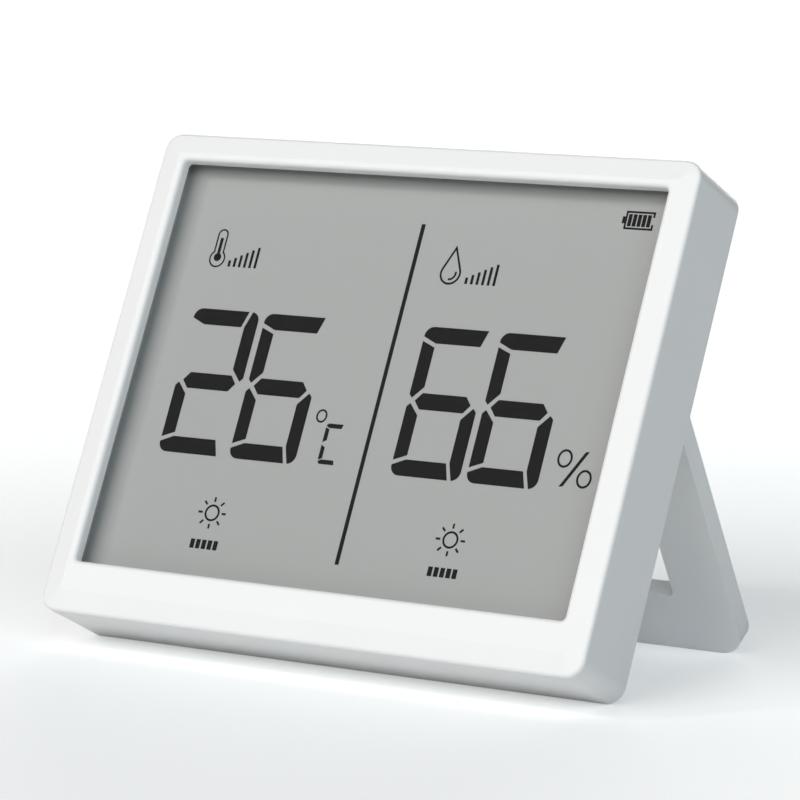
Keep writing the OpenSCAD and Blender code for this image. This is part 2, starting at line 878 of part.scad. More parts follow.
// Solder tail that runs from a contact plate down to the board
module contact_tail(y) {
    translate([bay_x1 - sheet_t, y - tail_w / 2, pcb_back])
        cube([sheet_t, tail_w, bay_floor - pcb_back + over]);
}

module positive_dimple(y) {
    translate([bay_x1 - sheet_t - dimple_h, y, cell_z])
        rotate([0, 90, 0])
            cylinder(d1 = tail_w, d2 = tail_w + 2, h = dimple_h + sheet_t / 2);
}

// Bent leaf that presses on a cell's negative end
module negative_leaf(y) {
    leaf_w = 2 * tail_w;
    reach = spring_room;
    bend = 1.6 * sheet_t;
    foot_z = cell_z - plate_share * cell_d / 2;
    tip_z = cell_z + plate_share * cell_d / 2;
    translate([bay_x1 - sheet_t, y + leaf_w / 2, 0])
        rotate([90, 0, 0])
            linear_extrude(leaf_w)
                polygon([[0, foot_z], [0, foot_z + bend], [-reach + bend, cell_z], [-sheet_t, tip_z],
                    [-2 * sheet_t, tip_z - sheet_t], [-reach, cell_z + sheet_t], [-reach, cell_z - sheet_t]]);
}

module contact_bridge() {
    color("silver")
        placed() {
            contact_plate(bay_y, cell_pitch + plate_share * cell_d);
            positive_dimple(cell_ys[0]);
            negative_leaf(cell_ys[1]);
        }
}

module contact_positive() {
    color("silver")
        placed()
            mirror([1, 0, 0]) {
                contact_plate(cell_ys[1], plate_share * cell_d);
                contact_tail(cell_ys[1]);
                positive_dimple(cell_ys[1]);
            }
}

module contact_negative() {
    color("silver")
        placed()
            mirror([1, 0, 0]) {
                contact_plate(cell_ys[0], plate_share * cell_d);
                contact_tail(cell_ys[0]);
                negative_leaf(cell_ys[0]);
            }
}

module battery_door() {
    groove_count = 4;
    groove_pitch = 2;
    groove_depth = 0.4;
    groove_w = 0.8;
    groove_edge = 4;
    color("whitesmoke")
        placed()
            translate([0, bay_y, 0])
                difference() {
                    translate([0, 0, door_in + skin / 2])
                        cube([door_w, door_h, skin], center = true);
                    for (i = [0:groove_count - 1])
                        translate([0, -door_h / 2 + groove_edge + i * groove_pitch, hump_back])
                            cube([door_w / 3, groove_w, 2 * groove_depth], center = true);
                }
}

module hinge_pins() {
    end_gap = 0.2;
    pin_l = pin_in_hump + arm_gap + pin_in_arm - end_gap;
    color("silver")
        placed()
            translate([0, hinge_h, hinge_z])
                both_sides(hump_w / 2 - pin_in_hump + pin_l / 2)
                    hinge_bore(pin_l, pin_d);
}

// Outline of the folded stand, drawn from the hinge line downwards
module stand_outline() {
    opening_w = stand_w - 2 * arm_w;
    scoop_r = (scoop_w * scoop_w / 4 + scoop_h * scoop_h) / (2 * scoop_h);
    difference() {
        union() {
            box2(-stand_w / 2, stand_w / 2, -arm_l + stand_r, 0);
            box2(-stand_w / 2 + stand_r, stand_w / 2 - stand_r, -arm_l, 0);
            for (side = [-1, 1])
                translate([side * (stand_w / 2 - stand_r), -arm_l + stand_r])
                    circle(stand_r);
        }
        box2(-opening_w / 2, opening_w / 2, -arm_l + foot_w + opening_r, over);
        box2(-opening_w / 2 + opening_r, opening_w / 2 - opening_r, -arm_l + foot_w, over);
        for (side = [-1, 1])
            translate([side * (opening_w / 2 - opening_r), -arm_l + foot_w + opening_r])
                circle(opening_r);
        translate([0, -arm_l + scoop_h - scoop_r])
            circle(scoop_r);
    }
}

// Side view of an arm's upper end: a round eye and a heel that stops flat on the back
module heel_profile() {
    half = stand_t / 2;
    stop_r = half + fold_gap - stop_gap;
    stop_y = stop_r * sin(open_angle);
    stop_z = -stop_r * cos(open_angle);
    heel_run = (half - stop_z) / sin(open_angle);
    circle(half);
    polygon([[0, 0], [stop_y, stop_z], [stop_y + heel_run * cos(open_angle), half], [0, half]]);
}

module stand() {
    color("whitesmoke")
        placed()
            translate([0, hinge_h, hinge_z])
                rotate([-open_angle, 0, 0])
                    difference() {
                        union() {
                            translate([0, 0, -stand_t / 2])
                                linear_extrude(stand_t)
                                    stand_outline();
                            both_sides(stand_w / 2 - arm_w / 2)
                                translate([-arm_w / 2, 0, 0])
                                    rotate([90, 0, 90])
                                        linear_extrude(arm_w)
                                            heel_profile();
                        }
                        both_sides(stand_w / 2 - arm_w)
                            hinge_bore(2 * pin_in_arm, pin_d + 2 * pin_play);
                    }
}

front_case();
lcd_gasket();
lcd_panel();
zebra_strip();
lcd_frame();
main_pcb();
driver_chip();
climate_sensor();
crystal();
capacitors();
resistors();
tact_switch();
switch_plunger();
unit_button();
pcb_screws();
back_cover();
case_screws();
battery_upper();
battery_lower();
contact_bridge();
contact_positive();
contact_negative();
battery_door();
hinge_pins();
stand();
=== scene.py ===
"""Looks of a desktop temperature and humidity sensor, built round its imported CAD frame."""

import logging
import math
from dataclasses import dataclass
from enum import Enum
from typing import Any, Protocol, Sequence

import bmesh
import bpy
from mathutils import Matrix, Vector


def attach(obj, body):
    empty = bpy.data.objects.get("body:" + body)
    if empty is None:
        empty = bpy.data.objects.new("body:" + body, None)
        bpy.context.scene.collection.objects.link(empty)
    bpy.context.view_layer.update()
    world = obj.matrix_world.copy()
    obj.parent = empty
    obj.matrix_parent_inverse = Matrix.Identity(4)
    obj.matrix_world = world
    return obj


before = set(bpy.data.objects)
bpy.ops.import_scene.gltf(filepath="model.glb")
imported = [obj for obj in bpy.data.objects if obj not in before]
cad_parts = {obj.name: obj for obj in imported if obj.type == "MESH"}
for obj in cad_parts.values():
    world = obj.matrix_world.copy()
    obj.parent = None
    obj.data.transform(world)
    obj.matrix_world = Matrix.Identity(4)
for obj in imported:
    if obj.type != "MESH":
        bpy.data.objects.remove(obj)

LOG = logging.getLogger("sensor")
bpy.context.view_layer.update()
MM = 0.001
Point = tuple[float, float]
# Two values that belong together, such as the lowest and the highest
Span = tuple[float, float]
Outline = tuple[Point, ...]
Colour = tuple[float, float, float, float]
# Sockets of a colour mix node, by number because its other types use the same names
MIX_SHARE, MIX_FIRST, MIX_SECOND, MIX_COLOUR = 0, 6, 7, 2
# Bands of a wave texture lie pi / (this rate x its scale) apart
WAVE_RATE = 10


def linear(hex_colour: str) -> Colour:
    """Turns an sRGB hex colour into linear light.

    Args:
        hex_colour: Colour such as "#f2f3f3".

    Returns:
        Linear red, green, blue and an alpha of 1.
    """
    channels = [int(hex_colour[i:i + 2], 16) / 255 for i in (1, 3, 5)]
    red, green, blue = (c / 12.92 if c <= 0.04045 else ((c + 0.055) / 1.055) ** 2.4
                        for c in channels)
    return red, green, blue, 1.0


def add_node(tree: bpy.types.NodeTree, kind: str, inputs: dict[Any, Any] | None = None,
             **settings: Any) -> bpy.types.Node:
    """Adds a node, sets its options and fills or links its inputs.

    Args:
        tree: Node tree that takes the node.
        kind: Blender's name of the node type.
        inputs: Socket name or number to a value, or to the output socket that feeds it.
        settings: Options of the node itself.

    Returns:
        The new node.
    """
    node = tree.nodes.new(kind)
    for name, value in settings.items():
        setattr(node, name, value)
    for socket, value in (inputs or {}).items():
        if isinstance(value, bpy.types.NodeSocket):
            tree.links.new(value, node.inputs[socket])
        else:
            node.inputs[socket].default_value = value
    return node


class Surface:
    """A new material with its shader and the part's own coordinates in millimetres."""

    def __init__(self, name: str, **sockets: Any) -> None:
        """Starts the material.

        Args:
            name: Name of the material.
            sockets: Constant values of the shader's sockets, with _ for a space.
        """
        self.material = bpy.data.materials.new(name)
        self.material.use_nodes = True
        self.tree = self.material.node_tree
        self.shader = self.tree.nodes["Principled BSDF"]
        for socket, value in sockets.items():
            self.shader.inputs[socket.replace("_", " ")].default_value = value
        place = add_node(self.tree, "ShaderNodeTexCoord")
        self.mm = add_node(self.tree, "ShaderNodeVectorMath",
                           {0: place.outputs["Object"], 1: (1 / MM, 1 / MM, 1 / MM)},
                           operation="MULTIPLY").outputs[0]

    def feed(self, **sources: bpy.types.NodeSocket) -> None:
        """Links outputs to the shader's sockets, with _ for a space."""
        for socket, source in sources.items():
            self.tree.links.new(source, self.shader.inputs[socket.replace("_", " ")])

    def dress(self, clouds: bpy.types.NodeSocket, colours: tuple[Any, Any],
              grain: bpy.types.NodeSocket, roughness: Span, depth_mm: float,
              relief: float = 1.0) -> None:
        """Lets one pattern tint the surface, and one set its roughness and relief.

        Args:
            clouds: Pattern that passes from the first colour to the second.
            colours: Those two colours, each a linear one or a socket.
            grain: Pattern of the roughness and the relief, which can be the same one.
            roughness: Roughness where that pattern is lowest and where it is highest.
            depth_mm: Depth of the relief.
            relief: Strength of the relief.
        """
        tint = add_node(self.tree, "ShaderNodeMix", {
            MIX_SHARE: clouds, MIX_FIRST: colours[0], MIX_SECOND: colours[1]}, data_type="RGBA")
        gloss = add_node(self.tree, "ShaderNodeMapRange", {
            "Value": grain, "To Min": roughness[0], "To Max": roughness[1]})
        bump = add_node(self.tree, "ShaderNodeBump", {
            "Height": grain, "Distance": depth_mm * MM, "Strength": relief})
        self.feed(Base_Color=tint.outputs[MIX_COLOUR], Roughness=gloss.outputs[0],
                  Normal=bump.outputs[0])


class Finish(Protocol):
    """What every finish has: a name, and a way to make its material."""

    @property
    def name(self) -> str:
        """Name of the material."""

    def build(self) -> bpy.types.Material:
        """Makes the material."""


@dataclass(frozen=True)
class MouldedPlastic:
    """Plastic moulded in a spark-eroded tool: an even satin skin with faint flow clouds."""

    name: str
    colour: str
    cloud_colour: str
    roughness: Span
    ior: float = 1.54
    cloud_mm: float = 24.0
    cloud_detail: float = 4.0
    # The real grit of the tool is about 0.05 mm; it is drawn coarser so that it shows.
    grain_mm: float = 0.3
    grain_detail: float = 2.0
    grain_bite: float = 0.6
    grain_depth_mm: float = 0.0035

    def build(self) -> bpy.types.Material:
        """Makes the material.

        Returns:
            The material.
        """
        skin = Surface(self.name, IOR=self.ior)
        cloud = add_node(skin.tree, "ShaderNodeTexNoise", {
            "Vector": skin.mm, "Scale": 1 / self.cloud_mm, "Detail": self.cloud_detail})
        grain = add_node(skin.tree, "ShaderNodeTexNoise", {
            "Vector": skin.mm, "Scale": 1 / self.grain_mm, "Detail": self.grain_detail,
            "Roughness": self.grain_bite})
        skin.dress(cloud.outputs[0], (linear(self.colour), linear(self.cloud_colour)),
                   grain.outputs[0], self.roughness, self.grain_depth_mm)
        return skin.material


@dataclass(frozen=True)
class PolariserFilm:
    """Matt polariser with its foil: a grey face with a fine sparkle and no clear reflections."""

    name: str
    colour: str
    sparkle_colour: str
    roughness: Span = (0.36, 0.48)
    gleam: float = 0.3
    ior: float = 1.49
    # The foil's grain is some 0.02 mm wide; it is drawn coarser so that it shows.
    sparkle_mm: float = 0.22
    sparkle_detail: float = 3.0
    sparkle_bite: float = 0.7
    pit_depth_mm: float = 0.0015

    def build(self) -> bpy.types.Material:
        """Makes the material.

        Returns:
            The material.
        """
        film = Surface(self.name, IOR=self.ior, Specular_IOR_Level=self.gleam)
        sparkle = add_node(film.tree, "ShaderNodeTexNoise", {
            "Vector": film.mm, "Scale": 1 / self.sparkle_mm, "Detail": self.sparkle_detail,
            "Roughness": self.sparkle_bite}).outputs[0]
        film.dress(sparkle, (linear(self.colour), linear(self.sparkle_colour)), sparkle,
                   self.roughness, self.pit_depth_mm)
        return film.material


@dataclass(frozen=True)
class ClearGlass:
    """Thin display glass with an etched front: clear, with a faint haze and no sharp reflections.

    It is drawn without bending the light, so that the sheet behind it stays crisp.
    """

    name: str
    colour: str
    haze: float = 0.006
    roughness: Span = (0.32, 0.48)
    ior: float = 1.52
    # Etched pits are some 0.02 mm wide; they are drawn coarser so that they show.
    pit_mm: float = 0.2
    pit_detail: float = 2.0

    def build(self) -> bpy.types.Material:
        """Makes the material.

        Returns:
            The material.
        """
        glass = Surface(self.name, Base_Color=linear(self.colour), IOR=self.ior, Alpha=self.haze)
        pits = add_node(glass.tree, "ShaderNodeTexNoise", {
            "Vector": glass.mm, "Scale": 1 / self.pit_mm, "Detail": self.pit_detail})
        gloss = add_node(glass.tree, "ShaderNodeMapRange", {
            "Value": pits.outputs[0], "To Min": self.roughness[0], "To Max": self.roughness[1]})
        glass.feed(Roughness=gloss.outputs[0])
        return glass.material


@dataclass(frozen=True)
class CellularRubber:
    """Foamed or filled rubber: dull, with closed cells or filler grains at the cut face."""

    name: str
    colour: str
    cell_colour: str
    cell_mm: float
    roughness: Span = (0.75, 0.85)
    ior: float = 1.5
    # Depth of the cut cells as a share of their width
    cell_depth: float = 0.1
    relief: float = 0.6

    def build(self) -> bpy.types.Material:
        """Makes the material.

        Returns:
            The material.
        """
        foam = Surface(self.name, IOR=self.ior)
        cells = add_node(foam.tree, "ShaderNodeTexVoronoi", {
            "Vector": foam.mm, "Scale": 1 / self.cell_mm}).outputs["Distance"]
        foam.dress(cells, (linear(self.colour), linear(self.cell_colour)), cells,
                   self.roughness, self.cell_depth * self.cell_mm, self.relief)
        return foam.material


@dataclass(frozen=True)
class StripedSilicone:
    """Extruded silicone connector: fine dark stripes of carbon layers in soft pink rubber."""

    name: str
    colour: str
    stripe_colour: str
    roughness: Span = (0.5, 0.7)
    ior: float = 1.41
    # Real layers are 0.05 mm apart; they are drawn wider so that they show.
    pitch_mm: float = 0.4
    waviness: float = 0.3

    def build(self) -> bpy.types.Material:
        """Makes the material.

        Returns:
            The material.
        """
        strip = Surface(self.name, IOR=self.ior)
        tree = strip.tree
        layers = add_node(tree, "ShaderNodeTexWave", {
            "Vector": strip.mm, "Scale": math.pi / (WAVE_RATE * self.pitch_mm),
            "Distortion": self.waviness}, bands_direction="X").outputs["Fac"]
        tint = add_node(tree, "ShaderNodeMix", {
            MIX_SHARE: layers, MIX_FIRST: linear(self.colour),
            MIX_SECOND: linear(self.stripe_colour)}, data_type="RGBA")
        gloss = add_node(tree, "ShaderNodeMapRange", {
            "Value": layers, "To Min": self.roughness[0], "To Max": self.roughness[1]})
        strip.feed(Base_Color=tint.outputs[MIX_COLOUR], Roughness=gloss.outputs[0])
        return strip.material


@dataclass(frozen=True)
class SolderMask:
    """Glass-epoxy board under green solder mask: copper tracks show as lighter, raised lines."""

    name: str
    colour: str
    track_colour: str
    roughness: Span = (0.3, 0.45)
    ior: float = 1.52
    lacquer: float = 0.3
    lacquer_roughness: float = 0.25
    track_pitch_mm: float = 2.4
    # Length of a track as a multiple of the distance between tracks
    track_run: float = 3.0
    track_w_mm: float = 0.16
    track_edge: float = 0.2
    track_rise_mm: float = 0.03
    relief: float = 0.7
    weave_mm: float = 0.5

    def build(self) -> bpy.types.Material:
        """Makes the material.

        Returns:
            The material.
        """
        board = Surface(self.name, IOR=self.ior, Coat_Weight=self.lacquer,
                        Coat_Roughness=self.lacquer_roughness)
        tree = board.tree
        tracks = add_node(tree, "ShaderNodeTexBrick", {
            "Vector": board.mm, "Scale": 1.0, "Mortar Size": self.track_w_mm,
            "Mortar Smooth": self.track_edge, "Row Height": self.track_pitch_mm,
            "Brick Width": self.track_run * self.track_pitch_mm, "Color1": linear(self.colour),
            "Color2": linear(self.colour), "Mortar": linear(self.track_colour)})
        weave = add_node(tree, "ShaderNodeTexVoronoi", {
            "Vector": board.mm, "Scale": 1 / self.weave_mm})
        gloss = add_node(tree, "ShaderNodeMapRange", {
            "Value": weave.outputs["Distance"], "To Min": self.roughness[0],
            "To Max": self.roughness[1]})
        bump = add_node(tree, "ShaderNodeBump", {
            "Height": tracks.outputs["Fac"], "Distance": self.track_rise_mm * MM,
            "Strength": self.relief})
        board.feed(Base_Color=tracks.outputs["Color"], Roughness=gloss.outputs[0],
                   Normal=bump.outputs[0])
        return board.material


@dataclass(frozen=True)
class FilledResin:
    """Moulded epoxy or fired ceramic of a chip part: mineral speckle in a dull, pitted skin."""

    name: str
    colour: str
    speck_colour: str
    roughness: Span = (0.52, 0.68)
    ior: float = 1.55
    speck_mm: float = 0.12
    speck_detail: float = 2.0
    speck_bite: float = 0.75
    pit_depth_mm: float = 0.006
    relief: float = 0.8

    def build(self) -> bpy.types.Material:
        """Makes the material.

        Returns:
            The material.
        """
        resin = Surface(self.name, IOR=self.ior)
        specks = add_node(resin.tree, "ShaderNodeTexNoise", {
            "Vector": resin.mm, "Scale": 1 / self.speck_mm, "Detail": self.speck_detail,
            "Roughness": self.speck_bite}).outputs[0]
        resin.dress(specks, (linear(self.colour), linear(self.speck_colour)), specks,
                    self.roughness, self.pit_depth_mm, self.relief)
        return resin.material


@dataclass(frozen=True)
class PlatedSteel:
    """Nickel-plated steel, stamped or turned: grey metal with drawn lines and small rub marks."""

    name: str
    colour: str
    worn_colour: str
    roughness: Span = (0.2, 0.45)
    line_mm: float = 0.25
    line_detail: float = 2.0
    # Width of a drawn line as a share of its length
    line_share: float = 0.08
    line_depth_mm: float = 0.004
    relief: float = 0.6
    rub_mm: float = 3.0
    rub_detail: float = 4.0

    def build(self) -> bpy.types.Material:
        """Makes the material.

        Returns:
            The material.
        """
        steel = Surface(self.name, Metallic=1.0)
        stretched = add_node(steel.tree, "ShaderNodeVectorMath", {
            0: steel.mm, 1: (self.line_share, 1.0, 1.0)}, operation="MULTIPLY")
        lines = add_node(steel.tree, "ShaderNodeTexNoise", {
            "Vector": stretched.outputs[0], "Scale": 1 / self.line_mm,
            "Detail": self.line_detail})
        rubs = add_node(steel.tree, "ShaderNodeTexNoise", {
            "Vector": steel.mm, "Scale": 1 / self.rub_mm, "Detail": self.rub_detail})
        steel.dress(rubs.outputs[0], (linear(self.colour), linear(self.worn_colour)),
                    lines.outputs[0], self.roughness, self.line_depth_mm, self.relief)
        return steel.material


class CellEnd(Enum):
    """Side of the battery bay that a cell's positive button points to."""

    RIGHT = 1.0
    LEFT = -1.0


@dataclass(frozen=True)
class CellJacket:
    """Shrunk jacket on a dry cell: coloured, with a band at the positive end and bare ends."""

    name: str
    positive: CellEnd
    body_colour: str = "#2f6b4a"
    band_colour: str = "#c9a25e"
    metal_colour: str = "#c8c9c9"
    roughness: Span = (0.22, 0.4)
    ior: float = 1.53
    # Places along the cell, from the bay's middle towards the positive button
    band_from_mm: float = 12.0
    positive_face_mm: float = 22.9
    negative_face_mm: float = -20.1
    wrinkle_mm: float = 1.5
    wrinkle_detail: float = 3.0
    wrinkle_depth_mm: float = 0.02
    relief: float = 0.5

    def build(self) -> bpy.types.Material:
        """Makes the material.

        Returns:
            The material.
        """
        jacket = Surface(self.name, IOR=self.ior)
        tree = jacket.tree
        axes = add_node(tree, "ShaderNodeSeparateXYZ", {0: jacket.mm})
        along = add_node(tree, "ShaderNodeMath", {
            0: axes.outputs["X"], 1: self.positive.value}, operation="MULTIPLY").outputs[0]
        band = add_node(tree, "ShaderNodeMath", {
            0: along, 1: self.band_from_mm}, operation="GREATER_THAN")
        top = add_node(tree, "ShaderNodeMath", {
            0: along, 1: self.positive_face_mm}, operation="GREATER_THAN")
        base = add_node(tree, "ShaderNodeMath", {
            0: along, 1: self.negative_face_mm}, operation="LESS_THAN")
        ends = add_node(tree, "ShaderNodeMath", {
            0: top.outputs[0], 1: base.outputs[0]}, operation="MAXIMUM").outputs[0]
        printed = add_node(tree, "ShaderNodeMix", {
            MIX_SHARE: band.outputs[0], MIX_FIRST: linear(self.body_colour),
            MIX_SECOND: linear(self.band_colour)}, data_type="RGBA").outputs[MIX_COLOUR]
        wrinkle = add_node(tree, "ShaderNodeTexNoise", {
            "Vector": jacket.mm, "Scale": 1 / self.wrinkle_mm, "Detail": self.wrinkle_detail})
        jacket.dress(ends, (printed, linear(self.metal_colour)), wrinkle.outputs[0],
                     self.roughness, self.wrinkle_depth_mm, self.relief)
        jacket.feed(Metallic=ends)
        return jacket.material


WHITE_ABS = MouldedPlastic("white ABS, moulded satin", "#f6f7f7", "#f3f4f4", (0.41, 0.51))
GREY_ABS = MouldedPlastic("grey ABS, moulded plain", "#a2a4a4", "#979999", (0.45, 0.55))
DISPLAY_GLASS = ClearGlass("display glass, etched", "#f4f7f6")
DISPLAY_FILM = PolariserFilm("polariser with reflector foil", "#a7a9a8", "#a4a6a5")
DISPLAY_INK = PolariserFilm("switched liquid crystal segment", "#171717", "#1b1b1b",
                            roughness=(0.44, 0.56), gleam=0.05)
BLACK_FOAM = CellularRubber("black PU foam, die-cut", "#0b0b0b", "#1a1a1a", 0.25)
ZEBRA = StripedSilicone("pink silicone, carbon striped", "#d99a9f", "#3a2a2c")
BOARD = SolderMask("glass epoxy, green solder mask", "#12482a", "#1f6a3c")
CHIP_BLACK = FilledResin("black epoxy, transfer moulded", "#17181a", "#26272a")
CHIP_IVORY = FilledResin("ivory resin, cast", "#dad5c4", "#c9c3b0")
CHIP_TAN = FilledResin("fired ceramic, tan", "#a07c52", "#876744")
STEEL = PlatedSteel("steel, nickel plated", "#c4c5c7", "#aeb0b3")
CELL_RIGHT = CellJacket("cell jacket, button right", CellEnd.RIGHT)
CELL_LEFT = CellJacket("cell jacket, button left", CellEnd.LEFT)

NODE_FINISHES: dict[str, Finish] = {
    "front_case": WHITE_ABS, "back_cover": WHITE_ABS, "stand": WHITE_ABS,
    "battery_door": WHITE_ABS, "unit_button": WHITE_ABS, "lcd_panel": DISPLAY_GLASS,
    "lcd_gasket": BLACK_FOAM, "zebra_strip": ZEBRA, "lcd_frame": GREY_ABS, "main_pcb": BOARD,
    "driver_chip": CHIP_BLACK, "climate_sensor": CHIP_IVORY, "crystal": STEEL,
    "capacitors": CHIP_TAN, "resistors": CHIP_BLACK, "tact_switch": CHIP_BLACK,
    "switch_plunger": CHIP_BLACK, "pcb_screws": STEEL, "case_screws": STEEL,
    "battery_upper": CELL_RIGHT, "battery_lower": CELL_LEFT, "contact_bridge": STEEL,
    "contact_positive": STEEL, "contact_negative": STEEL, "hinge_pins": STEEL,
}


class FinishShelf:
    """Builds each finish once and hands it out again."""

    def __init__(self) -> None:
        """Starts with nothing built."""
        self.built: dict[str, bpy.types.Material] = {}

    def get(self, finish: Finish) -> bpy.types.Material:
        """Hands out a finish, and builds it the first time.

        Args:
            finish: Finish to hand out.

        Returns:
            Its material.
        """
        if finish.name not in self.built:
            self.built[finish.name] = finish.build()
        return self.built[finish.name]

    def dress_nodes(self) -> None:
        """Gives every CAD node its finish."""
        for name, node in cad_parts.items():
            node.data.materials.clear()
            node.data.materials.append(self.get(NODE_FINISHES[name]))
            LOG.info("dressed %s in %s", name, NODE_FINISHES[name].name)


class FaceSide(Enum):
    """Side of the case from which a face is looked at."""

    FRONT = 1.0
    BACK = -1.0


@dataclass(frozen=True)
class LeaningFace:
    """A flat face of the leaning case, in millimetres.

    x runs to the viewer's right, y up the face and z out of it.
    """

    origin: Vector
    up: Vector
    side: FaceSide

    @classmethod
    def of_display(cls, node: str) -> "LeaningFace":
        """Finds the front of the display, with its origin in the middle of the lower edge.

        Args:
            node: CAD node of the glass.

        Returns:
            The face.
        """
        points = [vertex.co.copy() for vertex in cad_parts[node].data.vertices]
        low = min(points, key=lambda p: p.y)
        high = max(points, key=lambda p: p.z)
        up = Vector((0, high.y - low.y, high.z - low.z)).normalized()
        return cls(Vector((0, low.y, low.z)), up, FaceSide.FRONT)

    @classmethod
    def of_back(cls, node: str, up: Vector) -> "LeaningFace":
        """Finds the outer face of a flat piece on the back, with its origin in the piece's middle.

        Args:
            node: CAD node of the piece.
            up: Direction up the leaning face.

        Returns:
            The face.
        """
        out = Vector((-1, 0, 0)).cross(up)
        points = [vertex.co.copy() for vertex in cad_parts[node].data.vertices]
        reach = max(p.dot(out) for p in points)
        heights = [p.dot(up) for p in points]
        middle = (min(heights) + max(heights)) / 2
        return cls(out * reach + up * middle, up, FaceSide.BACK)

    def sunk(self, depth: float) -> "LeaningFace":
        """Returns the parallel face that lies a depth in millimetres below this one."""
        out = Vector((self.side.value, 0, 0)).cross(self.up)
        return LeaningFace(self.origin - out * depth * MM, self.up, self.side)

    def matrix(self) -> Matrix:
        """Works out where the face lies.

        Returns:
            The transform from the face's millimetres to the part's frame.
        """
        right = Vector((self.side.value, 0, 0))
        turn = Matrix((right, self.up, right.cross(self.up))).transposed().to_4x4()
        return Matrix.Translation(self.origin) @ turn @ Matrix.Scale(MM, 4)


def arc(centre: Point, radius: float, start: float, end: float, steps: int = 24,
        tall: float = 1.0) -> list[Point]:
    """Lists points along an arc.

    Args:
        centre: Middle of the arc.
        radius: Radius across.
        start: First angle in degrees.
        end: Last angle in degrees.
        steps: Number of spans.
        tall: Height of the arc as a share of its width.

    Returns:
        The points, ends included.
    """
    angles = [math.radians(start + (end - start) * i / steps) for i in range(steps + 1)]
    return [(centre[0] + radius * math.cos(a), centre[1] + tall * radius * math.sin(a))
            for a in angles]


def ring(centre: Point, radius: float, steps: int = 40, tall: float = 1.0) -> list[Point]:
    """Lists the points of a closed ring once round."""
    return arc(centre, radius, 0, 360, steps, tall)[:-1]


def rectangle(x: Span, y: Span) -> list[Point]:
    """Lists the corners of a rectangle between two sides and two heights."""
    return [(x[0], y[0]), (x[1], y[0]), (x[1], y[1]), (x[0], y[1])]


def offset_loop(loop: Sequence[Point], distance: float) -> list[Point]:
    """Moves a closed outline outwards, with mitred corners.

    Args:
        loop: Corners in anticlockwise order.
        distance: How far out; negative goes in.

    Returns:
        The moved corners, in the same order.
    """
    moved = []
    for i, corner in enumerate(loop):
        here = Vector(corner)
        into = (here - Vector(loop[i - 1])).normalized()
        away = (Vector(loop[(i + 1) % len(loop)]) - here).normalized()
        first, second = Vector((into.y, -into.x)), Vector((away.y, -away.x))
        push = (first + second) / (1 + first.dot(second))
        moved.append(tuple(here + distance * push))
    return moved


def anticlockwise(loop: Sequence[Point]) -> list[Point]:
    """Returns the outline in anticlockwise order."""
    area = sum(a[0] * b[1] - b[0] * a[1] for a, b in zip(loop, [*loop[1:], loop[0]]))
    return list(loop) if area > 0 else list(reversed(loop))


class ThinPlates:
    """Flat outlines that are raised to thin plates and gathered in one mesh."""

    def __init__(self, low: float, high: float) -> None:
        """Starts an empty mesh.

        Args:
            low: Height of the plates' underside in millimetres.
            high: Height of their top.
        """
        self.low, self.high = low, high
        self.mesh = bmesh.new()

    def _corners(self, loop: Sequence[Point], height: float) -> list[bmesh.types.BMVert]:
        """Adds one outline's corners at a height."""
        return [self.mesh.verts.new((x, y, height)) for x, y in loop]

    def _wall(self, lower: list[bmesh.types.BMVert], upper: list[bmesh.types.BMVert]) -> None:
        """Joins two closed outlines by a wall that faces out of an anticlockwise outline.

        Args:
            lower: Corners of the first outline.
            upper: Corners of the second, in the same order.
        """
        for i in range(len(lower)):
            j = (i + 1) % len(lower)
            self.mesh.faces.new((lower[i], lower[j], upper[j], upper[i]))

    def plate(self, loop: Sequence[Point]) -> None:
        """Adds a solid plate inside an outline.

        Args:
            loop: Corners of the outline, in either order.
        """
        loop = anticlockwise(loop)
        lower, upper = self._corners(loop, self.low), self._corners(loop, self.high)
        self.mesh.faces.new(upper)
        self.mesh.faces.new(list(reversed(lower)))
        self._wall(lower, upper)

    def line(self, loop: Sequence[Point], width: float) -> None:
        """Adds a closed line along an outline.

        Args:
            loop: Corners of the line's middle, in either order.
            width: Width of the line.
        """
        loop = anticlockwise(loop)
        outer, inner = offset_loop(loop, width / 2), offset_loop(loop, -width / 2)
        outer_low, outer_high = self._corners(outer, self.low), self._corners(outer, self.high)
        inner_low, inner_high = self._corners(inner, self.low), self._corners(inner, self.high)
        self._wall(outer_low, outer_high)
        self._wall(inner_high, inner_low)
        self._wall(outer_high, inner_high)
        self._wall(inner_low, outer_low)

    def stroke(self, points: Sequence[Point], width: float) -> None:
        """Adds an open line along some points.

        Args:
            points: Points of the line's middle.
            width: Width of the line.
        """
        left, right = [], []
        for i, (x, y) in enumerate(points):
            before, after = points[max(i - 1, 0)], points[min(i + 1, len(points) - 1)]
            ahead = (Vector(after) - Vector(before)).normalized() * (width / 2)
            left.append((x - ahead.y, y + ahead.x))
            right.append((x + ahead.y, y - ahead.x))
        self.plate([*right, *reversed(left)])

    def finish(self, name: str, face: LeaningFace, material: bpy.types.Material, slot: str,
               body: str) -> None:
        """Turns the plates into a piece that rides on a body.

        Args:
            name: Name of the piece.
            face: Face that the plates lie on.
            material: Finish of the plates.
            slot: Slot of the finish; not used.
            body: CAD body that carries the piece.
        """
        data = bpy.data.meshes.new(name)
        self.mesh.to_mesh(data)
        self.mesh.free()
        data.transform(face.matrix())
        data.materials.append(material)
        piece = bpy.data.objects.new(name, data)
        bpy.context.scene.collection.objects.link(piece)
        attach(piece, body)
        LOG.info("built %s with %d faces on %s", name, len(data.polygons), body)


class Numeral(Enum):
    """Numerals that the display shows, each with the segments that are switched on."""

    TWO = "abged"
    SIX = "afgecd"


